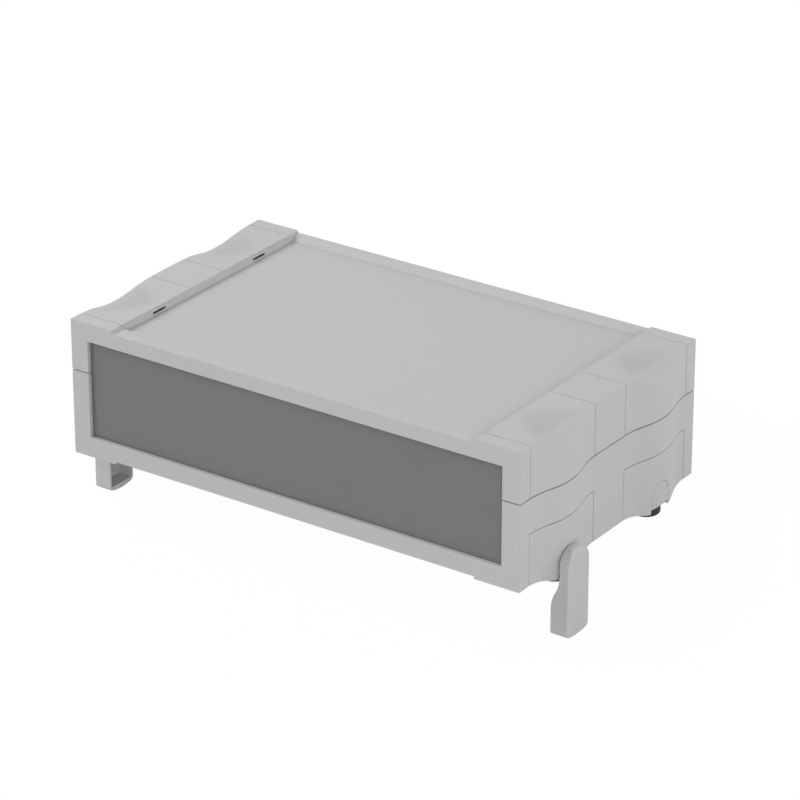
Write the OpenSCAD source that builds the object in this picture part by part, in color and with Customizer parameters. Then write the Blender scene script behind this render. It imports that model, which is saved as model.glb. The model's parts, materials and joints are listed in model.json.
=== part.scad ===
// Desktop enclosure with waved sides, scooped corner caps and two swinging tilt legs.
// Everything is drawn level, with the case centred and its underside at zero height,
// and is then tilted as one so that it stands on its legs and its rubber pads.

/* [Case] */
// Width between the flat parts of the two sides
case_w = 260; // [240:1:300]
// Depth from the front frame to the rear frame
case_d = 152; // [140:1:180]
// Height of the side bands above the underside
case_h = 71.4; // [66:0.2:90]
// Height of the joint between the two shells
part_z = 44.4; // [42:0.2:50]
// Thickness of the moulded walls
wall = 2.2; // [1.8:0.1:2.6]
// Open joint between the two shells
seam = 0.6; // [0.3:0.1:0.8]

/* [Side waves] */
// How far each wave stands out from the flat side
wave_h = 4.5; // [3:0.1:6]
// Half the length of a wave
wave_len = 27.5; // [24:0.5:28]
// Distance of a wave's end from the front or rear face
wave_in = 8; // [8:0.1:9]

/* [Bands and fields] */
// Width of the raised side bands
band_w = 25; // [23:0.5:28]
// Drop of the front rim below the bands
rim_drop = 1.9; // [1:0.1:2.5]
// Drop of the rear rim below the bands
rear_drop = 1.2; // [0.5:0.1:2]
// Depth of the rear rim's flat top
rear_rim_d = 2.4; // [1:0.1:3]
// Depth of the slope between the rear rim and the top field
rear_slope = 2.6; // [1.5:0.1:4]
// Drop of the flat top field below the bands
field_drop = 4.3; // [3.5:0.1:5.5]
// Depth of the front rim and of the lower rims
rim_d = 8.5; // [7.5:0.1:9]
// Rise of the lower rims above the underside
base_rim = 1.3; // [0.8:0.1:1.8]
// Rise of the flat floor field above the underside
base_field = 2.8; // [2.4:0.1:3.6]
// Thickness of the top and floor plates
plate = 2.5; // [2:0.1:3]

/* [Front and rear openings] */
// Width of the frame beside an opening
frame_side = 10; // [9:0.5:12]
// Height of the frame over an opening
frame_top = 9.7; // [9.5:0.1:12]
// Height of the frame under an opening
frame_bottom = 10.5; // [10:0.1:13]
// Setback of a panel from the frame's face
panel_recess = 2.3; // [1.5:0.1:2.6]
// Thickness of a panel
panel_t = 2.5; // [2:0.1:3]
// How far a panel reaches into its groove
panel_lap = 3; // [2:0.1:3.5]
// Play of a panel in its groove
panel_play = 0.1; // [0.05:0.01:0.2]
// Thickness of the rib behind a panel
rib_t = 2; // [1.5:0.1:2.5]

/* [Corner caps] */
// Thickness of a cap's skirt and top
cap_t = 2; // [1.6:0.1:2.2]
// Thickness of a cap at its inner edge
cap_edge_t = 1.2; // [1:0.1:1.4]
// Gap all round a cap
cap_gap = 0.4; // [0.2:0.05:0.5]
// Drop of a cap's scoop at the crest
scoop_depth = 3.7; // [3:0.1:4]
// Hollowness of the scoop, one for a straight slope
scoop_curve = 1.2; // [1:0.1:1.6]
// Roundness of the scoop's inner nose
scoop_nose = 7; // [4:0.5:10]
// Radius of the lip where the scoop meets the side
lip_r = 6; // [4:0.1:6.2]
// Radius of the top edge at the ends of a cap
edge_r = 0.5; // [0.4:0.1:0.8]
// Length of the release slot under a cap's inner edge
slot_len = 10; // [6:0.5:14]
// Height of the release slot
slot_h = 1.4; // [1:0.1:1.6]
// Distance of the release slot's middle below the bands
slot_drop = 3.1; // [2.8:0.1:3.3]
// How far a release slot lies behind the wave's crest
slot_back = 2.3; // [1:0.1:3]
// Height of the ledge under the caps, below the bands
ledge_drop = 10.4; // [10:0.2:12]

/* [Foot modules] */
// Height of a foot module
foot_h = 26.9; // [25:0.1:29]
// Gap between a foot module and the shell
foot_gap = 0.4; // [0.2:0.05:0.5]
// Height of the arched openings
arch_top = 11.4; // [11:0.1:13]
// Width of the arched openings
arch_w = 15.2; // [15:0.2:16.4]
// Gap round the block that closes an arch
insert_gap = 0.15; // [0.1:0.05:0.3]
// How far the block reaches below the underside
insert_drop = 1.5; // [1:0.1:2.5]
// Length of the block behind the flat side
insert_len = 11; // [10.5:0.5:12]
// Thickness of the cheeks beside a block
cheek_t = 3.5; // [3:0.1:4]
// Radius of the pegs that hold a block
peg_r = 2; // [1.5:0.1:2.2]
// Distance of the pegs from the flat side
peg_in = 6; // [5:0.1:7]
// Height of the pegs above the underside
peg_z = 6; // [5:0.1:7]

/* [Tilt legs] */
// Width of a leg
leg_w = 18.2; // [17:0.2:19]
// How far a leg's outer face stands out from the flat side
leg_out = 9.6; // [9.6:0.1:10.5]
// Thickness of a leg below its shoulder
leg_t = 4.8; // [4.4:0.1:4.8]
// Thickness of a leg at its toe
toe_t = 9.3; // [8:0.1:9.3]
// Height of the thick part of a toe
toe_h = 14.5; // [8:0.5:15]
// Height of the flare between a leg and its toe
flare_h = 17.3; // [12:0.1:20]
// Height of a leg's shoulder above the underside
leg_top = 12; // [11:0.1:12.6]
// How far a toe reaches below the underside
leg_drop = 33.8; // [28:0.2:40]
// Rounding of a toe, as the rise of its front and rear ends
toe_sag = 1.6; // [1.4:0.1:2.6]
// Radius of a toe's corners
toe_r = 2; // [1:0.1:2.6]
// Radius of a toe's lower outer edge
sole_r = 0.8; // [0.5:0.1:1.2]
// Radius of a leg's outer shoulder
shoulder_r = 4; // [3:0.1:4.5]
// Wall of a hollow leg
leg_wall = 1.4; // [1.2:0.1:1.8]
// Height of the pivot above the underside
hinge_z = 6; // [5.8:0.1:6.2]
// Radius of a pivot pin
hinge_r = 2.5; // [2:0.1:2.6]
// Play of a pivot pin in its bore
hinge_play = 0.05; // [0.02:0.01:0.09]
// Radius of the collar that keeps a pivot pin in its block
collar_r = 3.8; // [3.4:0.1:4]
// Thickness of the collar
collar_t = 1.8; // [1.5:0.1:2.2]
// Gap round the collar
collar_gap = 0.3; // [0.2:0.05:0.4]

/* [Rubber pads] */
// Radius of a pad
pad_r = 7.2; // [6:0.1:7.6]
// How far a pad reaches below the underside
pad_drop = 8.5; // [8.4:0.1:9]
// Radius of a pad's lower edge
pad_round = 1.2; // [0.8:0.1:2]
// Distance of a pad's middle from the flat side
pad_in = 5.4; // [5:0.1:5.8]
// How far a pad lies behind the wave's crest
pad_back = 2.3; // [2:0.1:2.6]
// Radius of a pad's stud
stud_r = 2.2; // [1.5:0.1:2.5]
// Length of a pad's stud
stud_len = 3; // [2:0.5:3]

/* [Screws and posts] */
// Radius of a housing screw's shank
screw_r = 1.75; // [1.5:0.05:2]
// Length of a housing screw's shank
screw_len = 18; // [14:0.5:19]
// Distance of a housing screw from the flat side
screw_in = 11; // [10:0.5:12]
// Height of a housing screw's seat above the joint between the shells
screw_seat = 6; // [5:0.5:7]
// Radius of a foot screw's shank
foot_screw_r = 1.45; // [1.2:0.05:1.6]
// Distance of a foot screw from the flat side
foot_screw_in = 12; // [11:0.5:13]
// Distance of a foot screw from the wave's crest
foot_screw_off = 18.5; // [18:0.5:19.5]
// Height of a foot screw's seat above the underside
foot_seat = 6; // [5:0.5:8]
// How far a foot screw reaches past its module
foot_grip = 8; // [6:0.5:9]
// Radius of a screw's head, in shank radii
head_ratio = 1.9; // [1.7:0.05:2]
// Height of a screw's head, in shank radii
head_rise = 1.2; // [1:0.05:1.4]
// Room past the tip of a screw or stud
tip_room = 1; // [0.5:0.1:1.5]
// Play round a shank in its hole
shank_play = 0.05; // [0.02:0.01:0.1]
// Play round a screw's head
head_play = 0.3; // [0.2:0.05:0.5]
// Material round a screw hole
boss_wall = 2.4; // [2:0.1:2.6]
// Material round a screw's head
head_wall = 1.2; // [1:0.1:1.4]
// Radius of the pilot hole in a circuit board post
post_bore_r = 1.25; // [1:0.05:1.5]
// Height of a circuit board post
post_h = 8; // [6:0.5:10]
// Distance between the circuit board posts from side to side
post_span_x = 170; // [120:1:180]
// Distance between the circuit board posts from front to rear
post_span_y = 96; // [60:1:100]

/* [Hidden] */
$fn = 64;

// Overlap that lets one shape cut cleanly through another
eps = 0.5;
half_w = case_w / 2;
half_d = case_d / 2;
wave_y = half_d - wave_in - wave_len;
band_x = half_w - band_w;

// A wave is three tangent arcs of one radius
wave_r = (wave_len * wave_len + wave_h * wave_h) / (4 * wave_h);
wave_a = asin(wave_len / (2 * wave_r));
bay_start = wave_y - wave_len;
bay_end = wave_y + wave_len;

// Front and rear openings, and the grooves behind them
open_x = half_w - frame_side;
open_z0 = frame_bottom;
open_z1 = case_h - frame_top;
panel_y = half_d - panel_recess;
groove_t = panel_t + 2 * panel_play;
inner_d = panel_y - groove_t - rib_t;

// Heights of the plates
field_z = case_h - field_drop;
rim_z = case_h - rim_drop;
field_y = half_d - rim_d;
ledge_z = case_h - ledge_drop;
floor_z = base_field + plate;

// Caps
cap_skirt_gap = cap_t + cap_gap;
scoop_k = (band_w - cap_edge_t) / (norm([wave_len, scoop_nose]) - scoop_nose);

// Blocks in the arches, and the legs that swing on the front ones
slot_x = half_w - insert_len;
peg_x = half_w - peg_in;
peg_len = arch_w + 2 * (cheek_t - insert_gap);
collar_x = slot_x + insert_gap + collar_gap;
leg_x1 = half_w + leg_out;
leg_x0 = leg_x1 - leg_t;
toe_x0 = leg_x1 - toe_t;
toe_arc_r = (leg_w * leg_w / 4 + toe_sag * toe_sag) / (2 * toe_sag);

// Pads
pad_x = half_w - pad_in;
pad_h = pad_drop - insert_drop;

// Screws
screw_x = half_w - screw_in;
screw_hole_r = screw_r + shank_play;
screw_head_r = screw_r * head_ratio;
screw_seat_z = part_z + screw_seat;
foot_screw_x = half_w - foot_screw_in;
foot_hole_r = foot_screw_r + shank_play;
foot_head_r = foot_screw_r * head_ratio;
foot_screw_len = foot_h + foot_grip - foot_seat;
foot_hole_z = foot_h + foot_grip + tip_room;
shelf_z = foot_h + plate / 2;

// Stance: the ground touches the rear edge of the pads and the rounded toes
toe_c = [-wave_y, toe_arc_r - leg_drop];
pad_c = [wave_y + pad_back + pad_r - pad_round, pad_round - pad_drop];
corner_off = leg_w / 2 - toe_r;
corner_c = [-wave_y + corner_off, toe_c[1] - sqrt(pow(toe_arc_r - toe_r, 2) - corner_off * corner_off)];
arc_end = asin(corner_off / (toe_arc_r - toe_r));
function rest_angle(c, r) =
    asin((r - pad_round) / norm(pad_c - c)) - atan2(c[1] - pad_c[1], pad_c[0] - c[0]);
arc_tilt = rest_angle(toe_c, toe_arc_r);
tilt = arc_tilt <= arc_end ? arc_tilt : rest_angle(corner_c, toe_r);
lift = pad_round + pad_c[0] * sin(tilt) - pad_c[1] * cos(tilt);
shift = -case_h * sin(tilt) / 2;

// Colours
shell_grey = [0.74, 0.74, 0.74];
panel_grey = [0.45, 0.45, 0.45];
rubber_black = [0.12, 0.12, 0.12];
screw_steel = [0.6, 0.6, 0.62];

// Stand the level case on the ground
module stance() {
    translate([0, shift, lift]) rotate([-tilt, 0, 0]) children();
}

// Copy what is drawn in the right rear corner to another corner
module corner(side, end) {
    mirror([side < 0 ? 1 : 0, 0, 0]) mirror([0, end < 0 ? 1 : 0, 0]) children();
}

module all_corners() {
    for (side = [-1, 1], end = [-1, 1]) corner(side, end) children();
}

// One wave of the right side, moved inwards by inset
module wave(inset) {
    root = half_w - inset - wall;
    join = wave_len - (wave_r + inset) * sin(wave_a);
    translate([0, wave_y]) {
        intersection() {
            translate([half_w + wave_h - wave_r, 0]) circle(wave_r - inset, $fn = 128);
            translate([root, -join]) square([wave_h + wall, 2 * join]);
        }
        for (end = [0, 1]) mirror([0, end]) difference() {
            translate([root, join]) square([wave_h + wall, wave_len - join]);
            translate([half_w + wave_r, wave_len]) circle(wave_r + inset, $fn = 128);
        }
    }
}

// Plan of the case, moved inwards by inset at the sides, for a given half depth
module plan(inset, depth) {
    square([2 * (half_w - inset), 2 * depth], center = true);
    for (side = [0, 1], end = [0, 1]) mirror([side, 0]) mirror([0, end]) wave(inset);
}

// Plan of the right rear corner bay, from the band's inner edge outwards
module bay(gap) {
    translate([band_x + gap, bay_start + gap])
        square([band_w + 2 * wave_h, bay_end - bay_start - 2 * gap]);
}

module bays(gap) {
    for (side = [0, 1], end = [0, 1]) mirror([side, 0]) mirror([0, end]) bay(gap);
}

module slab(z0, z1) {
    translate([0, 0, z0]) linear_extrude(z1 - z0) children();
}

// A box given by its lowest and highest corners
module block(low, high) {
    translate(low) cube(high - low);
}

// The openings in both frames, with the grooves that hold the panels
module frame_cuts() {
    lap = panel_lap + panel_play;
    for (end = [0, 1]) mirror([0, end, 0]) {
        block([-open_x, inner_d - eps, open_z0], [open_x, half_d + eps, open_z1]);
        block([-open_x - lap, panel_y - groove_t, open_z0 - lap], [open_x + lap, panel_y, open_z1 + lap]);
    }
}

module upper_shell() {
    z0 = part_z + seam;
    color(shell_grey) difference() {
        union() {
            difference() {
                slab(z0, case_h) difference() {
                    plan(0, half_d);
                    bays(0);
                }
                top_cut();
                upper_hollow(z0);
            }
            difference() {
                slab(z0, ledge_z) intersection() {
                    plan(cap_skirt_gap, half_d);
                    bays(-eps);
                }
                slab(z0 - eps, ledge_z - plate) plan(cap_skirt_gap + wall, inner_d);
                block([-band_x, -inner_d, z0 - eps], [band_x, inner_d, ledge_z + eps]);
                for (side = [0, 1]) mirror([side, 0, 0])
                    block([0, wall - bay_start, z0 - eps], [half_w - wall, bay_start - wall, ledge_z + eps]);
            }
            for (side = [-1, 1], end = [-1, 1]) corner(side, end) cap_wall_inner(end);
            all_corners() translate([screw_x, wave_y, part_z])
                cylinder(r = screw_head_r + head_play + head_wall, h = ledge_z - plate / 2 - part_z);
        }
        frame_cuts();
        all_corners() translate([screw_x, wave_y, 0]) {
            cylinder(r = screw_hole_r, h = case_h);
            translate([0, 0, screw_seat_z]) cylinder(r = screw_head_r + head_play, h = case_h);
        }
    }
}

// What is taken away above the rims and the top field
module top_cut() {
    slope_y = half_d - rear_rim_d;
    rear_z = case_h - rear_drop;
    end_y = half_d + eps;
    top = case_h + eps;
    translate([-band_x, 0, 0]) rotate([90, 0, 90]) linear_extrude(2 * band_x) polygon([
        [-end_y, rim_z], [-field_y, rim_z],
        [-field_y, field_z], [slope_y - rear_slope, field_z],
        [slope_y, rear_z], [end_y, rear_z],
        [end_y, top], [-end_y, top]
    ]);
}

// Space inside the upper shell between its bays
module upper_hollow(z0) {
    block([-band_x, -inner_d, z0 - eps], [band_x, inner_d, field_z - plate]);
    for (side = [0, 1]) mirror([side, 0, 0]) {
        block([band_x - eps, wall - bay_start, z0 - eps], [half_w - wall, bay_start - wall, field_z - plate]);
        block([band_x + wall, wall - bay_start, z0], [half_w - wall, bay_start - wall, case_h - plate]);
    }
}

// Wall of the top field under a cap's inner edge, with the slot that frees the cap
module cap_wall_inner(end) {
    top = case_h - cap_edge_t;
    slot_z = case_h - slot_drop;
    difference() {
        union() {
            block([band_x, bay_start - eps, ledge_z - plate], [band_x + wall, bay_end + eps, field_z]);
            block([band_x, bay_start - eps, ledge_z - plate], [band_x + cap_edge_t, bay_end + eps, top]);
        }
        translate([band_x + cap_edge_t / 2, wave_y + end * slot_back, slot_z])
            cube([cap_edge_t + 2 * eps, slot_len, slot_h], center = true);
    }
}

module lower_shell() {
    color(shell_grey) difference() {
        union() {
            difference() {
                slab(0, part_z) plan(0, half_d);
                slab(-eps, foot_h) bays(0);
                block([-band_x, -half_d - eps, -eps], [band_x, half_d + eps, base_rim]);
                block([-band_x, -field_y, -eps], [band_x, field_y, base_field]);
                slab(foot_h + plate, part_z + eps) plan(wall, inner_d);
                block([wall - band_x, -inner_d, floor_z], [band_x - wall, inner_d, part_z + eps]);
                block(
                    [wall - half_w, wall - bay_start, floor_z],
                    [half_w - wall, bay_start - wall, part_z + eps]
                );
            }
            all_corners() {
                translate([screw_x, wave_y, shelf_z])
                    cylinder(r = screw_hole_r + boss_wall, h = part_z - shelf_z);
                foot_screw_places() translate([0, 0, shelf_z])
                    cylinder(r = foot_hole_r + boss_wall, h = foot_hole_z + boss_wall - shelf_z);
            }
            posts() cylinder(r = post_bore_r + boss_wall, h = post_h + plate / 2);
        }
        frame_cuts();
        all_corners() {
            translate([screw_x, wave_y, screw_seat_z - screw_len - tip_room])
                cylinder(r = screw_hole_r, h = screw_len);
            foot_screw_places() cylinder(r = foot_hole_r, h = foot_hole_z);
        }
        posts() translate([0, 0, plate / 2 + tip_room]) cylinder(r = post_bore_r, h = post_h + eps);
    }
}

// Circuit board posts, each drawn from the middle of the floor plate upwards
module posts() {
    for (x = [-1, 1], y = [-1, 1])
        translate([x * post_span_x / 2, y * post_span_y / 2, floor_z - plate / 2]) children();
}

// The two screws of a foot module
module foot_screw_places() {
    for (end = [-1, 1]) translate([foot_screw_x, wave_y + end * foot_screw_off, 0]) children();
}

// A panel lies in its groove with the same play all round
module panel() {
    lap = panel_lap - panel_play;
    block(
        [-open_x - lap, panel_y - panel_play - panel_t, open_z0 - lap],
        [open_x + lap, panel_y - panel_play, open_z1 + lap]
    );
}

module front_panel() {
    color(panel_grey) mirror([0, 1, 0]) panel();
}

module rear_panel() {
    color(panel_grey) panel();
}

// How far the wave stands out at a distance q from its crest
function bulge(q) =
    let (a = abs(q))
    a < wave_len / 2 ? wave_h - wave_r + sqrt(wave_r * wave_r - a * a)
    : a < wave_len ? wave_r - sqrt(wave_r * wave_r - pow(wave_len - a, 2)) : 0;

// Depth of the scoop at a distance p from the band's inner edge and q from the crest
function scoop(p, q) =
    let (
        rim = cap_edge_t + scoop_k * (norm([q, scoop_nose]) - scoop_nose),
        run = (p - rim) / (band_w + bulge(q) - rim)
    )
    run <= 0 ? 0 : scoop_depth * bulge(q) / wave_h * (1 - pow(1 - min(run, 1), scoop_curve));

// Distances from the band's inner edge at which a cap's sections have their points
function cap_p(i, reach) = i == 0 ? 0 : cap_edge_t + (reach - cap_edge_t) * (i - 1) / (cap_steps - 1);

// Outside of a cap at a distance q from the crest: over the top, round the lip and down the skirt
cap_steps = 12;
lip_steps = 8;
function lip(q) =
    let (side = half_w + bulge(q))
    edge_r + (lip_r - edge_r) * scoop(side - band_x, q) / scoop_depth;
function cap_outside(q) =
    let (side = half_w + bulge(q), r = lip(q), end = side - r, z = case_h - scoop(end - band_x, q) - r)
    concat(
        [for (i = [0:cap_steps])
            let (p = cap_p(i, end - band_x)) [band_x + p, case_h - scoop(p, q)]],
        [for (i = [1:lip_steps])
            let (a = 90 - 90 * i / lip_steps) [end + r * cos(a), z + r * sin(a)]],
        [[side, part_z + seam]]
    );

// Inside of a cap, point for point under its outside
function cap_inside(q) =
    let (
        side = half_w + bulge(q),
        r = max(lip(q) - cap_t, edge_r),
        end = side - cap_t - r,
        z = case_h - scoop(end - band_x, q) - cap_t - r
    )
    concat(
        [for (i = [0:cap_steps])
            let (p = cap_p(i, end - band_x), t = i < 2 ? cap_edge_t : cap_t)
                [band_x + p, case_h - scoop(p, q) - t]],
        [for (i = [1:lip_steps])
            let (a = 90 - 90 * i / lip_steps) [end + r * cos(a), z + r * sin(a)]],
        [[side - cap_t, part_z + seam]]
    );

// A cap is a skin over its sections, with both ends closed
cap_rings = 24;
module corner_cap(side, end) {
    half = wave_len - cap_gap;
    m = cap_steps + lip_steps + 2;
    n = 2 * m;
    points = [
        for (j = [0:cap_rings])
            let (q = half * (2 * j / cap_rings - 1), out = cap_outside(q), in = cap_inside(q))
            for (i = [0:n - 1])
                let (p = i < m ? out[i] : in[n - 1 - i]) [p[0], wave_y + q, p[1]]
    ];
    skin = [
        for (j = [0:cap_rings - 1]) for (i = [0:n - 1])
            let (a = j * n + i, b = j * n + (i + 1) % n, c = b + n, d = a + n)
            for (tri = [[a, b, c], [a, c, d]]) tri
    ];
    last = cap_rings * n;
    ends = [
        for (i = [0:m - 2])
            let (a = i, b = i + 1, c = n - 2 - i, d = n - 1 - i)
            for (tri = [
                [a, c, b], [a, d, c],
                [last + a, last + b, last + c], [last + a, last + c, last + d]
            ]) tri
    ];
    color(shell_grey) corner(side, end) polyhedron(points, concat(skin, ends));
}

// Outline of an arched opening, made smaller by gap
module arch(gap) {
    r = arch_w / 2 - gap;
    rise = arch_top - gap - r;
    translate([0, rise]) circle(r);
    translate([-r, -wave_h - eps]) square([2 * r, rise + wave_h + eps]);
}

// The arch as a tunnel through the outer wall of a foot module
module arch_tunnel(gap) {
    translate([peg_x, wave_y, 0]) rotate([90, 0, 90]) linear_extrude(peg_in + leg_out) arch(gap);
}

// The slot behind an arch, inside the outer wall of a foot module
module arch_slot(gap) {
    slab(-wave_h - eps, arch_top - gap) intersection() {
        plan(wall, half_d);
        translate([slot_x + gap, wave_y - arch_w / 2 + gap]) square([half_w, arch_w - 2 * gap]);
    }
}

// What is drawn along Z is laid across a block, in line with its pegs
module peg_line() {
    translate([peg_x, wave_y, peg_z]) rotate([90, 0, 0]) children();
}

// The lower edge of a foot module's outer wall, which follows the wave
module foot_skirt() {
    intersection() {
        slab(-wave_h - eps, wall) intersection() {
            difference() {
                plan(0, half_d);
                plan(wall, half_d);
            }
            bay(foot_gap);
        }
        translate([0, 0, half_w]) rotate([0, 90, 0]) linear_extrude(half_w + 2 * wave_h) wave(0);
    }
}

// A foot module, drawn in the right rear corner
module foot() {
    difference() {
        union() {
            difference() {
                slab(0, foot_h - foot_gap) intersection() {
                    plan(0, half_d);
                    bay(foot_gap);
                }
                slab(plate, foot_h) intersection() {
                    plan(wall, half_d);
                    bay(foot_gap + wall);
                }
            }
            foot_skirt();
            slab(0, arch_top + wall) intersection() {
                plan(0, half_d);
                translate([slot_x - wall, wave_y - arch_w / 2 - cheek_t])
                    square([half_w, arch_w + 2 * cheek_t]);
            }
            foot_screw_places() cylinder(r = foot_head_r + head_play + head_wall, h = foot_h - foot_gap);
        }
        arch_slot(0);
        arch_tunnel(0);
        peg_line() cylinder(r = peg_r + shank_play, h = arch_w + 2 * (cheek_t + eps), center = true);
        foot_screw_places() {
            translate([0, 0, -eps]) cylinder(r = foot_head_r + head_play, h = foot_seat + eps);
            cylinder(r = foot_hole_r, h = foot_h);
        }
    }
}

module foot_module(side, end) {
    color(shell_grey) corner(side, end) foot();
}

// Side view of a leg, from its shoulder to its toe
module leg_side() {
    flare_t = toe_t - leg_t;
    flare_r = (flare_h * flare_h + flare_t * flare_t) / (4 * flare_t);
    waist = toe_h - leg_drop;
    translate([leg_x0, -leg_drop]) square([leg_t - sole_r, leg_drop]);
    translate([leg_x0, sole_r - leg_drop]) square([leg_t, leg_drop - sole_r + leg_top - shoulder_r]);
    translate([leg_x1 - sole_r, sole_r - leg_drop]) circle(sole_r);
    translate([leg_x0, leg_top - shoulder_r - eps]) square([leg_t - shoulder_r, shoulder_r + eps]);
    intersection() {
        translate([leg_x1 - shoulder_r, leg_top - shoulder_r]) circle(shoulder_r);
        translate([leg_x1 - shoulder_r, leg_top - 2 * shoulder_r]) square([shoulder_r, 2 * shoulder_r]);
    }
    translate([toe_x0, -leg_drop]) square([toe_t - leg_t + eps, toe_h]);
    intersection() {
        translate([toe_x0 + flare_r, waist]) circle(flare_r, $fn = 128);
        translate([toe_x0, waist - eps]) square([flare_t + eps, flare_h / 2 + eps]);
    }
    difference() {
        translate([toe_x0 + flare_t / 2, waist + flare_h / 2 - eps])
            square([flare_t / 2 + eps, flare_h / 2 + eps]);
        translate([leg_x0 - flare_r, waist + flare_h]) circle(flare_r, $fn = 128);
    }
}

// Front view of a leg: a round head, and straight edges down to a rounded toe with rounded corners
module leg_front() {
    toe_z = corner_c[1];
    head_z = leg_top - leg_w / 2;
    arc_w = 2 * toe_arc_r * sin(arc_end);
    intersection() {
        translate([0, toe_c[1]]) circle(toe_arc_r, $fn = 128);
        translate([-arc_w / 2, -leg_drop]) square([arc_w, leg_drop + toe_z + eps]);
    }
    for (end = [-1, 1]) translate([end * corner_off, toe_z]) circle(toe_r);
    translate([-leg_w / 2, toe_z]) square([leg_w, head_z - toe_z]);
    translate([0, head_z]) circle(leg_w / 2);
}

// What is drawn along Z is laid along the pivot, from a distance x from the middle outwards
module pivot(x) {
    translate([x, wave_y, hinge_z]) rotate([0, 90, 0]) children();
}

// A leg in the right rear corner, swung out, with its pivot pin
module leg() {
    difference() {
        union() {
            intersection() {
                translate([0, wave_y + leg_w / 2, 0]) rotate([90, 0, 0]) linear_extrude(leg_w) leg_side();
                translate([slot_x, wave_y, 0]) rotate([90, 0, 90]) linear_extrude(half_w) leg_front();
            }
            pivot(collar_x) cylinder(r = hinge_r, h = leg_x0 + leg_wall - collar_x);
            pivot(collar_x) cylinder(r = collar_r, h = collar_t);
        }
        block(
            [toe_x0 - eps, wave_y - leg_w / 2 + leg_wall, toe_sag + leg_wall - leg_drop],
            [leg_x1 - leg_wall, wave_y + leg_w / 2 - leg_wall, -leg_wall]
        );
    }
}

module tilt_leg(side) {
    color(shell_grey) corner(side, -1) leg();
}

// The block that closes an arch, flush with the wave, and carries a pad
module insert(end) {
    difference() {
        union() {
            intersection() {
                arch_tunnel(insert_gap);
                slab(-insert_drop, foot_h) plan(0, half_d);
            }
            intersection() {
                arch_slot(insert_gap);
                slab(-insert_drop, foot_h) plan(wall + insert_gap, half_d);
            }
            peg_line() cylinder(r = peg_r, h = peg_len, center = true);
        }
        translate([pad_x, wave_y + end * pad_back, -insert_drop - eps])
            cylinder(r = stud_r + shank_play, h = stud_len + tip_room + eps);
    }
}

// A front block has a flat seat for a leg and a bore for its pivot pin, wider where the collar turns
module pivot_insert() {
    difference() {
        union() {
            insert(-1);
            intersection() {
                arch_tunnel(insert_gap);
                block([half_w, 0, -insert_drop], [half_w + wave_h, half_d, foot_h]);
            }
        }
        pivot(slot_x) cylinder(r = hinge_r + hinge_play, h = insert_len + leg_out);
        pivot(slot_x) cylinder(r = collar_r + collar_gap, h = collar_x - slot_x + collar_t + collar_gap);
    }
}

module front_insert(side) {
    color(shell_grey) corner(side, -1) pivot_insert();
}

module rear_insert(side) {
    color(shell_grey) corner(side, 1) insert(1);
}

// A rubber pad with a rounded lower edge and a stud
module pad(end) {
    translate([pad_x, wave_y + end * pad_back, -insert_drop]) rotate_extrude() {
        translate([0, -pad_h]) square([pad_r - pad_round, pad_h]);
        translate([0, pad_round - pad_h]) square([pad_r, pad_h - pad_round]);
        translate([pad_r - pad_round, pad_round - pad_h]) circle(pad_round);
        translate([0, -eps]) square([stud_r, stud_len + eps]);
    }
}

module rubber_pad(side, end) {
    color(rubber_black) corner(side, end) pad(end);
}

// A pan head screw seen from its seat: head above, shank below, with a cross recess
module screw(r, len) {
    head_h = r * head_rise;
    recess_w = r / 2;
    recess_z = head_h / 3;
    difference() {
        union() {
            translate([0, 0, -len]) cylinder(r = r, h = len);
            cylinder(r = r * head_ratio, h = head_h);
        }
        for (a = [0, 90]) rotate(a) translate([-r, -recess_w / 2, recess_z]) cube([2 * r, recess_w, head_h]);
    }
}

module housing_screws() {
    color(screw_steel) all_corners() translate([screw_x, wave_y, screw_seat_z])
        screw(screw_r, screw_len);
}

module foot_screws() {
    color(screw_steel) all_corners() foot_screw_places() translate([0, 0, foot_seat]) mirror([0, 0, 1])
        screw(foot_screw_r, foot_screw_len);
}

stance() upper_shell();
stance() lower_shell();
stance() front_panel();
stance() rear_panel();
stance() corner_cap(-1, -1);  // corner_cap_front_left
stance() corner_cap(1, -1);  // corner_cap_front_right
stance() corner_cap(-1, 1);  // corner_cap_rear_left
stance() corner_cap(1, 1);  // corner_cap_rear_right
stance() foot_module(-1, -1);  // foot_front_left
stance() foot_module(1, -1);  // foot_front_right
stance() foot_module(-1, 1);  // foot_rear_left
stance() foot_module(1, 1);  // foot_rear_right
stance() tilt_leg(-1);  // leg_front_left
stance() tilt_leg(1);  // leg_front_right
stance() front_insert(-1);  // insert_front_left
stance() front_insert(1);  // insert_front_right
stance() rear_insert(-1);  // insert_rear_left
stance() rear_insert(1);  // insert_rear_right
stance() rubber_pad(-1, -1);  // pad_front_left
stance() rubber_pad(1, -1);  // pad_front_right
stance() rubber_pad(-1, 1);  // pad_rear_left
stance() rubber_pad(1, 1);  // pad_rear_right
stance() housing_screws();
stance() foot_screws();
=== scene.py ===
"""Looks of the desktop enclosure: moulded grey shells, caps, feet and legs, dark panels and rubber pads."""
import json
import math

import bpy
from bpy.props import FloatProperty, FloatVectorProperty, PointerProperty
from bpy.types import Operator, Panel, PropertyGroup
from mathutils import Matrix, Vector


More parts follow.
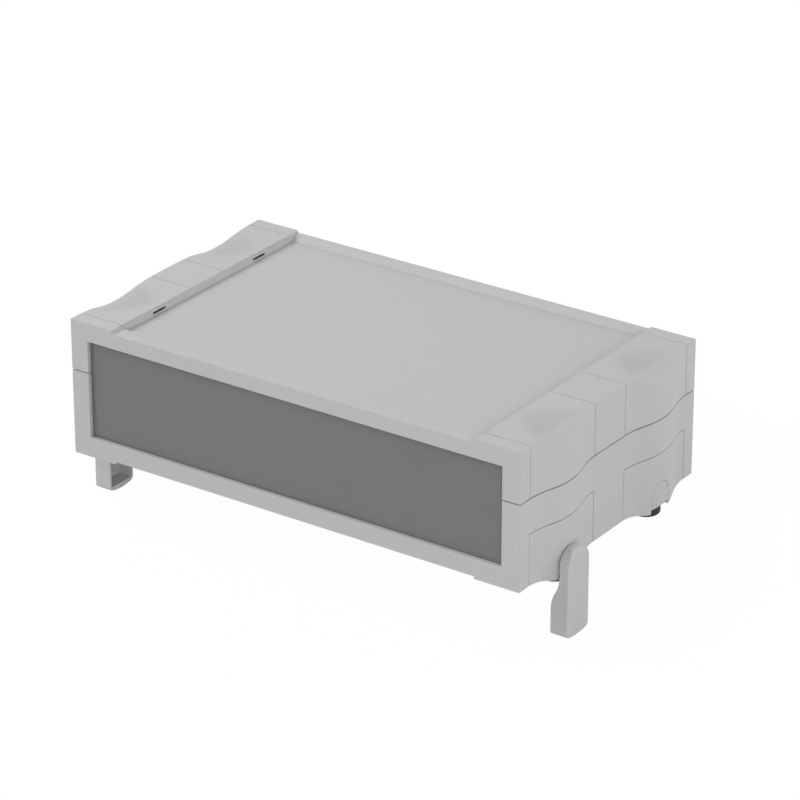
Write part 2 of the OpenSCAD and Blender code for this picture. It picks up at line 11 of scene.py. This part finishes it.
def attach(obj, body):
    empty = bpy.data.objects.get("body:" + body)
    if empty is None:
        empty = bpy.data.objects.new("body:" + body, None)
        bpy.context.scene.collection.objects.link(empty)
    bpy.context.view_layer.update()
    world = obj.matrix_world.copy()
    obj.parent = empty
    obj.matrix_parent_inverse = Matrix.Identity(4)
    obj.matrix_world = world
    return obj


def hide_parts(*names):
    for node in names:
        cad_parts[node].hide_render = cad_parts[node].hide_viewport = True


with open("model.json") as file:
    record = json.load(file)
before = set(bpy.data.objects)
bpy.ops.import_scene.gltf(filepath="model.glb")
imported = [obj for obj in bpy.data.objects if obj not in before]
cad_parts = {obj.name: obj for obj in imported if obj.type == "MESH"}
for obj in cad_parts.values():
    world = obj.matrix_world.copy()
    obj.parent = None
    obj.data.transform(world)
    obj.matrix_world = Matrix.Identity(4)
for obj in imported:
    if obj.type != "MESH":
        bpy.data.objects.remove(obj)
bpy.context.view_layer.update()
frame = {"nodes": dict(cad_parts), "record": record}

bl_info = {
    "name": "Desktop enclosure",
    "version": (1, 0, 0),
    "blender": (4, 5, 0),
    "location": "View3D > Sidebar > Enclosure",
    "description": "Finishes the pieces of a desktop enclosure and sets up a white studio around it",
    "category": "Object",
}

# Sides and ends of the case, as they stand in the names of its pieces
SIDES = ("left", "right")
ENDS = ("front", "rear")
BODY_OF = {node: body for body, nodes in frame["record"]["behaviour"]["bodies"].items() for node in nodes}

# Place of the middle of the top field in the level case, in metres
FIELD_LEVEL = Vector((0, 0, 0.0671))

# Height of the side bands over the top field, and half the width of the case between its waves, in metres
BAND_RISE = 0.0043
HALF_WIDTH = 0.13

# Depth below the bands over which the scoops' painted shade fades in, and width over which it fades out to
# the lip
SCOOP_SHADE_FADE = 0.0013
LIP_SHADE_FADE = 0.007

# Distance within which the corners of a CAD mesh's loose triangles are joined
MERGE_DISTANCE = 1e-6

# Angles between faces: up to the first they become one face, above the second their edge is rounded,
# and up to the third they are shaded as one surface
FLAT_ANGLE = math.radians(0.3)
SHARP_ANGLE = math.radians(40)
SMOOTH_ANGLE = math.radians(38)

# Faces across a rounded edge
EDGE_SEGMENTS = 3

# Octaves of the grain and of the mottling, and the height of a grain as a share of its width
GRAIN_DETAIL = 3
MOTTLE_DETAIL = 4
GRAIN_HEIGHT = 0.25

# The studio's floor: its corners, its radius, its depth below the ground, its paint, the strength of its
# glow, and the share of the glow over the paint where it is seen as background
FLOOR_CORNERS = 64
FLOOR_RADIUS = 3
FLOOR_DEPTH = 0.0002
FLOOR_PAINT = (0.8, 0.8, 0.8, 1)
FLOOR_GLOW = 1.02
GLOW_SHARE = 0.95
WHITE = (1, 1, 1, 1)

# Width of the square lamps, and their places around the level case, named as their settings are
LAMP_WIDTH = 1.0
LAMP_PLACES = {
    "front_left": (-0.9, -0.9, 1.27),
    "front_right": (1.21, -1.21, 0.56),
    "rear_left": (-0.9, 0.9, 1.27),
    "rear_right": (1.21, 1.21, 0.56),
}


class EnclosureFinish(PropertyGroup):
    """Colours and surface textures of the pieces, and the painted shade of the caps' scoops."""

    case_colour: FloatVectorProperty(
        name="Case colour", description="Light grey of the moulded pieces",
        default=(0.55, 0.55, 0.55), min=0, max=1, subtype="COLOR")
    panel_colour: FloatVectorProperty(
        name="Panel colour", description="Mid grey of the front and rear panels",
        default=(0.175, 0.175, 0.175), min=0, max=1, subtype="COLOR")
    rubber_colour: FloatVectorProperty(
        name="Rubber colour", description="Near black of the pads",
        default=(0.014, 0.014, 0.014), min=0, max=1, subtype="COLOR")
    steel_colour: FloatVectorProperty(
        name="Steel colour", description="Plated steel of the screws",
        default=(0.56, 0.56, 0.58), min=0, max=1, subtype="COLOR")
    grain_size: FloatProperty(
        name="Grain size", description="Width of one grain of the moulded texture",
        default=0.0006, min=0.0001, unit="LENGTH")
    mottle_size: FloatProperty(
        name="Mottle size", description="Width of the broad, faint changes of tone",
        default=0.025, min=0.001, unit="LENGTH")
    # Painted shade: the caps' scoops are darkened to this share of the case colour
    painted_scoop_shade: FloatProperty(
        name="Painted scoop shade", description="Tone of the caps' scoops, as a share of the case colour",
        default=0.91, min=0, max=1, subtype="FACTOR")


class EnclosureEdges(PropertyGroup):
    """Radii of the rounded edges."""

    shell: FloatProperty(
        name="Shell edge", description="Radius of the shells' edges",
        default=0.0002, min=0, unit="LENGTH")
    cap: FloatProperty(
        name="Cap edge", description="Radius of the corner caps' edges",
        default=0.0002, min=0, unit="LENGTH")
    foot: FloatProperty(
        name="Foot edge", description="Radius of the edges of the foot modules and their blocks",
        default=0.0003, min=0, unit="LENGTH")
    leg: FloatProperty(
        name="Leg edge", description="Radius of the legs' edges",
        default=0.0003, min=0, unit="LENGTH")
    panel: FloatProperty(
        name="Panel edge", description="Radius of the panels' edges",
        default=0.0003, min=0, unit="LENGTH")
    pad: FloatProperty(
        name="Pad edge", description="Radius of the pads' edges",
        default=0.0003, min=0, unit="LENGTH")
    screw: FloatProperty(
        name="Screw edge", description="Radius of the screws' edges",
        default=0.00012, min=0, unit="LENGTH")


class EnclosureStage(PropertyGroup):
    """Camera and light, given around the level case."""

    azimuth: FloatProperty(
        name="Azimuth", description="Turn of the camera from the front towards the right side",
        default=math.radians(34.863), unit="ROTATION")
    elevation: FloatProperty(
        name="Elevation", description="Height of the camera above the level case, as an angle",
        default=math.radians(25.077), unit="ROTATION")
    distance: FloatProperty(
        name="Distance", description="Distance from the aim point to the camera",
        default=1.95944, min=0.1, unit="LENGTH")
    aim: FloatVectorProperty(
        name="Aim point", description="Point of the level case in the middle of the picture",
        default=(0.00777, 0.00437, 0.034), subtype="TRANSLATION", unit="LENGTH")
    lens: FloatProperty(
        name="Lens", description="Focal length on a 36 mm sensor, in millimetres",
        default=182.4, min=10, unit="CAMERA")
    ambient: FloatProperty(
        name="Ambient light", description="Strength of the even light from all round",
        default=0.3, min=0)
    front_left: FloatProperty(
        name="Front left light", description="Power of the soft light from above the front left",
        default=12.6, min=0, unit="POWER")
    front_right: FloatProperty(
        name="Front right light", description="Power of the low, soft light from the front right",
        default=10, min=0, unit="POWER")
    rear_left: FloatProperty(
        name="Rear left light", description="Power of the soft light from above the rear left",
        default=4.65, min=0, unit="POWER")
    rear_right: FloatProperty(
        name="Rear right light", description="Power of the low, soft light from the rear right",
        default=10.5, min=0, unit="POWER")


def top_field():
    """The record's mount on the top field."""
    return next(mount for mount in frame["record"]["mounts"] if mount["name"] == "top_field")


def select_only(obj):
    """Make one object the only selected and active one."""
    bpy.ops.object.select_all(action="DESELECT")
    obj.select_set(True)
    bpy.context.view_layer.objects.active = obj


def cleaned_copy(node):
    """Copy a CAD node's mesh and join its loose triangles into whole faces."""
    obj = bpy.data.objects.new(f"{node}_finished", frame["nodes"][node].data.copy())
    bpy.context.scene.collection.objects.link(obj)
    obj.data.materials.clear()
    select_only(obj)
    bpy.ops.mesh.customdata_custom_splitnormals_clear()
    bpy.ops.object.mode_set(mode="EDIT")
    bpy.ops.mesh.select_all(action="SELECT")
    bpy.ops.mesh.remove_doubles(threshold=MERGE_DISTANCE)
    bpy.ops.mesh.dissolve_limited(angle_limit=FLAT_ANGLE)
    bpy.ops.object.mode_set(mode="OBJECT")
    return obj


def round_edges(obj, radius):
    """Round every sharp edge, then shade smooth with the large faces kept flat."""
    select_only(obj)
    bevel = obj.modifiers.new("Rounded edges", "BEVEL")
    bevel.width = radius
    bevel.segments = EDGE_SEGMENTS
    bevel.limit_method = "ANGLE"
    bevel.angle_limit = SHARP_ANGLE
    bevel.use_clamp_overlap = False
    bpy.ops.object.modifier_apply(modifier=bevel.name)
    bpy.ops.object.shade_smooth_by_angle(angle=SMOOTH_ANGLE)
    normals = obj.modifiers.new("Flat faces", "WEIGHTED_NORMAL")
    normals.keep_sharp = True
    bpy.ops.object.modifier_apply(modifier=normals.name)


def dress(node, material, radius):
    """Stand a finished copy in for a CAD node, on the same body."""
    obj = cleaned_copy(node)
    round_edges(obj, radius)
    obj.data.materials.append(material)
    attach(obj, BODY_OF[node])
    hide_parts(node)


def surface_grain_group():
    """Fine moulded grain and broad mottling, shared by all finishes."""
    name = "surface grain"
    if name in bpy.data.node_groups:
        return bpy.data.node_groups[name]
    group = bpy.data.node_groups.new(name, "ShaderNodeTree")
    for label in ("Grain Scale", "Mottle Scale"):
        group.interface.new_socket(label, in_out="INPUT", socket_type="NodeSocketFloat")
    for label in ("Height", "Mottle"):
        group.interface.new_socket(label, in_out="OUTPUT", socket_type="NodeSocketFloat")
    nodes, links = group.nodes, group.links
    inputs = nodes.new("NodeGroupInput")
    outputs = nodes.new("NodeGroupOutput")
    place = nodes.new("ShaderNodeTexCoord")
    textures = (("Grain Scale", GRAIN_DETAIL, "Height"), ("Mottle Scale", MOTTLE_DETAIL, "Mottle"))
    for scale, detail, result in textures:
        texture = nodes.new("ShaderNodeTexNoise")
        texture.inputs["Detail"].default_value = detail
        links.new(place.outputs["Object"], texture.inputs["Vector"])
        links.new(inputs.outputs[scale], texture.inputs["Scale"])
        links.new(texture.outputs["Fac"], outputs.inputs[result])
    return group


def finish_material(name, colour, roughness, bump, tone, metallic=0.0):
    """A grained finish: colour and roughness drift by tone, and bump sets how strong the grain is."""
    if name in bpy.data.materials:
        return bpy.data.materials[name]
    finish = bpy.context.scene.enclosure_finish
    material = bpy.data.materials.new(name)
    material.use_nodes = True
    nodes, links = material.node_tree.nodes, material.node_tree.links
    shader = nodes["Principled BSDF"]
    shader.inputs["Metallic"].default_value = metallic
    grain = nodes.new("ShaderNodeGroup")
    grain.node_tree = surface_grain_group()
    grain.inputs["Grain Scale"].default_value = 1 / finish.grain_size
    grain.inputs["Mottle Scale"].default_value = 1 / finish.mottle_size
    tint = nodes.new("ShaderNodeMix")
    tint.data_type = "RGBA"
    tint.inputs["A"].default_value = [channel * (1 - tone) for channel in colour] + [1]
    tint.inputs["B"].default_value = [min(1, channel * (1 + tone)) for channel in colour] + [1]
    links.new(grain.outputs["Mottle"], tint.inputs["Factor"])
    links.new(tint.outputs["Result"], shader.inputs["Base Color"])
    shine = nodes.new("ShaderNodeMapRange")
    shine.inputs["To Min"].default_value = roughness * (1 - tone)
    shine.inputs["To Max"].default_value = roughness * (1 + tone)
    links.new(grain.outputs["Height"], shine.inputs["Value"])
    links.new(shine.outputs["Result"], shader.inputs["Roughness"])
    relief = nodes.new("ShaderNodeBump")
    relief.inputs["Strength"].default_value = bump
    relief.inputs["Distance"].default_value = finish.grain_size * GRAIN_HEIGHT
    links.new(grain.outputs["Height"], relief.inputs["Height"])
    links.new(relief.outputs["Normal"], shader.inputs["Normal"])
    return material


def case_plastic():
    """Light grey moulded plastic."""
    colour = bpy.context.scene.enclosure_finish.case_colour
    return finish_material("case plastic", colour, roughness=0.55, bump=0.25, tone=0.02)


def painted_shade_mask_group():
    """A mask for the painted shade: 1 in the scoops of the caps, fading towards the bands and the outer
    lips.
    """
    name = "scoop mask"
    if name in bpy.data.node_groups:
        return bpy.data.node_groups[name]
    field = top_field()
    up = Vector(field["axis"])
    band_height = up.dot(Vector(field["pos_m"])) + BAND_RISE
    group = bpy.data.node_groups.new(name, "ShaderNodeTree")
    group.interface.new_socket("Scoop", in_out="OUTPUT", socket_type="NodeSocketFloat")
    nodes, links = group.nodes, group.links
    outputs = nodes.new("NodeGroupOutput")
    place = nodes.new("ShaderNodeTexCoord")
    height = nodes.new("ShaderNodeVectorMath")
    height.operation = "DOT_PRODUCT"
    height.inputs[1].default_value = up
    links.new(place.outputs["Object"], height.inputs[0])
    split = nodes.new("ShaderNodeSeparateXYZ")
    links.new(place.outputs["Object"], split.inputs["Vector"])
    across = nodes.new("ShaderNodeMath")
    across.operation = "ABSOLUTE"
    links.new(split.outputs["X"], across.inputs[0])
    both = nodes.new("ShaderNodeMath")
    both.operation = "MULTIPLY"
    limits = ((height, band_height, SCOOP_SHADE_FADE), (across, HALF_WIDTH, LIP_SHADE_FADE))
    for entry, (measure, edge, fade) in zip(both.inputs, limits):
        mask = nodes.new("ShaderNodeMapRange")
        mask.interpolation_type = "SMOOTHSTEP"
        mask.inputs["From Min"].default_value = edge
        mask.inputs["From Max"].default_value = edge - fade
        links.new(measure.outputs["Value"], mask.inputs["Value"])
        links.new(mask.outputs["Result"], entry)
    links.new(both.outputs["Value"], outputs.inputs["Scoop"])
    return group


def painted_shade_cap_plastic():
    """The case's plastic, with painted shade darkening the scoops."""
    name = "cap plastic"
    if name in bpy.data.materials:
        return bpy.data.materials[name]
    material = case_plastic().copy()
    material.name = name
    nodes, links = material.node_tree.nodes, material.node_tree.links
    colour = nodes["Principled BSDF"].inputs["Base Color"]
    mask = nodes.new("ShaderNodeGroup")
    mask.node_tree = painted_shade_mask_group()
    # Painted shade: the case colour is multiplied down where the scoop mask is 1
    shade = nodes.new("ShaderNodeMix")
    shade.data_type = "RGBA"
    shade.blend_type = "MULTIPLY"
    shade.inputs["B"].default_value = [bpy.context.scene.enclosure_finish.painted_scoop_shade] * 3 + [1]
    links.new(mask.outputs["Scoop"], shade.inputs["Factor"])
    links.new(colour.links[0].from_socket, shade.inputs["A"])
    links.new(shade.outputs["Result"], colour)
    return material


def panel_coating():
    """Mid grey satin coating of the panels."""
    colour = bpy.context.scene.enclosure_finish.panel_colour
    return finish_material("panel coating", colour, roughness=0.4, bump=0.1, tone=0.03)


def pad_rubber():
    """Matt black rubber."""
    colour = bpy.context.scene.enclosure_finish.rubber_colour
    return finish_material("pad rubber", colour, roughness=0.7, bump=0.3, tone=0.1)


def screw_plating():
    """Plated steel of the screws."""
    colour = bpy.context.scene.enclosure_finish.steel_colour
    return finish_material("screw plating", colour, roughness=0.35, bump=0.1, tone=0.05, metallic=1.0)


class ENCLOSURE_OT_shells(Operator):
    """Finish the upper and the lower shell"""

    bl_idname = "enclosure.shells"
    bl_label = "Shells"

    def execute(self, context):
        edges = context.scene.enclosure_edges
        for node in ("upper_shell", "lower_shell"):
            dress(node, case_plastic(), edges.shell)
        return {"FINISHED"}


class ENCLOSURE_OT_caps(Operator):
    """Finish the scooped corner caps"""

    bl_idname = "enclosure.caps"
    bl_label = "Corner caps"

    def execute(self, context):
        edges = context.scene.enclosure_edges
        for end in ENDS:
            for side in SIDES:
                dress(f"corner_cap_{end}_{side}", painted_shade_cap_plastic(), edges.cap)
        return {"FINISHED"}


class ENCLOSURE_OT_feet(Operator):
    """Finish the foot modules and the blocks that close their arches"""

    bl_idname = "enclosure.feet"
    bl_label = "Foot modules"

    def execute(self, context):
        edges = context.scene.enclosure_edges
        modules = [f"foot_{end}_{side}" for end in ENDS for side in SIDES]
        inserts = [f"insert_{end}_{side}" for end in ENDS for side in SIDES]
        for node in modules + inserts:
            dress(node, case_plastic(), edges.foot)
        return {"FINISHED"}


class ENCLOSURE_OT_legs(Operator):
    """Finish the swinging legs"""

    bl_idname = "enclosure.legs"
    bl_label = "Tilt legs"

    def execute(self, context):
        edges = context.scene.enclosure_edges
        for side in SIDES:
            dress(f"leg_front_{side}", case_plastic(), edges.leg)
        return {"FINISHED"}


class ENCLOSURE_OT_panels(Operator):
    """Finish the front and the rear panel"""

    bl_idname = "enclosure.panels"
    bl_label = "Panels"

    def execute(self, context):
        edges = context.scene.enclosure_edges
        for end in ENDS:
            dress(f"{end}_panel", panel_coating(), edges.panel)
        return {"FINISHED"}


class ENCLOSURE_OT_pads(Operator):
    """Finish the rubber pads"""

    bl_idname = "enclosure.pads"
    bl_label = "Rubber pads"

    def execute(self, context):
        edges = context.scene.enclosure_edges
        for end in ENDS:
            for side in SIDES:
                dress(f"pad_{end}_{side}", pad_rubber(), edges.pad)
        return {"FINISHED"}


class ENCLOSURE_OT_screws(Operator):
    """Finish the screws of the housing and of the foot modules"""

    bl_idname = "enclosure.screws"
    bl_label = "Screws"

    def execute(self, context):
        edges = context.scene.enclosure_edges
        for node in ("housing_screws", "foot_screws"):
            dress(node, screw_plating(), edges.screw)
        return {"FINISHED"}


def stance():
    """How the level case is turned and moved to stand on its legs, read from the mount on its top field."""
    field = top_field()
    up = Vector(field["axis"])
    turn = Matrix.Rotation(-math.atan2(up.y, up.z), 4, "X")
    return Matrix.Translation(Vector(field["pos_m"]) - turn @ FIELD_LEVEL) @ turn


def add_camera(stage):
    """Place the camera round the level case, then turn it with the case."""
    across = math.cos(stage.elevation)
    back = Vector((
        math.sin(stage.azimuth) * across,
        -math.cos(stage.azimuth) * across,
        math.sin(stage.elevation),
    ))
    place = Matrix.Translation(Vector(stage.aim) + stage.distance * back)
    turn = back.to_track_quat("Z", "Y").to_matrix().to_4x4()
    bpy.ops.object.camera_add()
    camera = bpy.context.object
    camera.name = "camera"
    camera.matrix_world = stance() @ place @ turn
    camera.data.lens = stage.lens
    bpy.context.scene.camera = camera


def seen_as_background(nodes, links):
    """A mask that is 1 where the background is seen directly, mirrored or through something clear."""
    path = nodes.new("ShaderNodeLightPath")
    value = path.outputs["Is Camera Ray"]
    for ray in ("Is Glossy Ray", "Is Transmission Ray"):
        larger = nodes.new("ShaderNodeMath")
        larger.operation = "MAXIMUM"
        links.new(value, larger.inputs[0])
        links.new(path.outputs[ray], larger.inputs[1])
        value = larger.outputs["Value"]
    return value


def light_world(stage):
    """Even light from all round, in front of a white background."""
    world = bpy.data.worlds.new("studio")
    bpy.context.scene.world = world
    world.use_nodes = True
    nodes, links = world.node_tree.nodes, world.node_tree.links
    lighting = nodes["Background"]
    lighting.inputs["Strength"].default_value = stage.ambient
    lighting.inputs["Color"].default_value = WHITE
    white = nodes.new("ShaderNodeBackground")
    white.inputs["Color"].default_value = WHITE
    choose = nodes.new("ShaderNodeMixShader")
    links.new(seen_as_background(nodes, links), choose.inputs["Fac"])
    links.new(lighting.outputs["Background"], choose.inputs[1])
    links.new(white.outputs["Background"], choose.inputs[2])
    links.new(choose.outputs["Shader"], nodes["World Output"].inputs["Surface"])


def add_floor():
    """A white floor that fades into the background and keeps a faint shadow."""
    bpy.ops.object.select_all(action="DESELECT")
    bpy.ops.mesh.primitive_circle_add(
        vertices=FLOOR_CORNERS, radius=FLOOR_RADIUS, fill_type="NGON", location=(0, 0, -FLOOR_DEPTH))
    floor = bpy.context.object
    floor.name = "studio_floor"
    material = bpy.data.materials.new("studio floor")
    material.use_nodes = True
    nodes, links = material.node_tree.nodes, material.node_tree.links
    nodes.remove(nodes["Principled BSDF"])
    paint = nodes.new("ShaderNodeBsdfDiffuse")
    paint.inputs["Color"].default_value = FLOOR_PAINT
    glow = nodes.new("ShaderNodeEmission")
    glow.inputs["Strength"].default_value = FLOOR_GLOW
    fade = nodes.new("ShaderNodeMath")
    fade.operation = "MULTIPLY"
    fade.inputs[1].default_value = GLOW_SHARE
    choose = nodes.new("ShaderNodeMixShader")
    links.new(seen_as_background(nodes, links), fade.inputs[0])
    links.new(fade.outputs["Value"], choose.inputs["Fac"])
    links.new(paint.outputs["BSDF"], choose.inputs[1])
    links.new(glow.outputs["Emission"], choose.inputs[2])
    links.new(choose.outputs["Shader"], nodes["Material Output"].inputs["Surface"])
    floor.data.materials.append(material)


def add_area_light(name, place, power):
    """A soft square lamp that looks at the case, with its place given around the level case."""
    spot = stance() @ Vector(place)
    bpy.ops.object.light_add(type="AREA", location=spot)
    lamp = bpy.context.object
    lamp.name = name
    lamp.data.shape = "SQUARE"
    lamp.data.size = LAMP_WIDTH
    lamp.data.energy = power
    lamp.rotation_euler = spot.to_track_quat("Z", "Y").to_euler()


class ENCLOSURE_OT_stage(Operator):
    """Set up the camera, the lights and the white floor"""

    bl_idname = "enclosure.stage"
    bl_label = "Stage"

    def execute(self, context):
        stage = context.scene.enclosure_stage
        add_camera(stage)
        light_world(stage)
        add_floor()
        for setting, place in LAMP_PLACES.items():
            corner = setting.replace("_", " ")
            add_area_light(f"{corner} light", place, getattr(stage, setting))
        context.scene.view_settings.view_transform = "Standard"
        return {"FINISHED"}


class ENCLOSURE_PT_pieces(Panel):
    """Lists the enclosure's settings and the operators that finish its pieces"""

    bl_idname = "ENCLOSURE_PT_pieces"
    bl_label = "Desktop enclosure"
    bl_space_type = "VIEW_3D"
    bl_region_type = "UI"
    bl_category = "Enclosure"

    def draw(self, context):
        for name, group in GROUPS.items():
            column = self.layout.column()
            for setting in group.__annotations__:
                column.prop(getattr(context.scene, name), setting)
        for piece in PIECES:
            self.layout.operator(piece.bl_idname)


PIECES = (
    ENCLOSURE_OT_shells, ENCLOSURE_OT_caps, ENCLOSURE_OT_feet, ENCLOSURE_OT_legs, ENCLOSURE_OT_panels,
    ENCLOSURE_OT_pads, ENCLOSURE_OT_screws, ENCLOSURE_OT_stage,
)
GROUPS = {
    "enclosure_finish": EnclosureFinish,
    "enclosure_edges": EnclosureEdges,
    "enclosure_stage": EnclosureStage,
}


def register():
    """Add the settings to the scene, then the operators and the panel."""
    for name, group in GROUPS.items():
        bpy.utils.register_class(group)
        setattr(bpy.types.Scene, name, PointerProperty(type=group))
    for piece in PIECES:
        bpy.utils.register_class(piece)
    bpy.utils.register_class(ENCLOSURE_PT_pieces)


def unregister():
    """Take away the panel and the operators, then the settings."""
    bpy.utils.unregister_class(ENCLOSURE_PT_pieces)
    for piece in reversed(PIECES):
        bpy.utils.unregister_class(piece)
    for name, group in GROUPS.items():
        delattr(bpy.types.Scene, name)
        bpy.utils.unregister_class(group)


def main():
    """Finish every piece and set up the stage."""
    register()
    bpy.ops.enclosure.shells()
    bpy.ops.enclosure.caps()
    bpy.ops.enclosure.feet()
    bpy.ops.enclosure.legs()
    bpy.ops.enclosure.panels()
    bpy.ops.enclosure.pads()
    bpy.ops.enclosure.screws()
    bpy.ops.enclosure.stage()


if __name__ == "__main__":
    main()
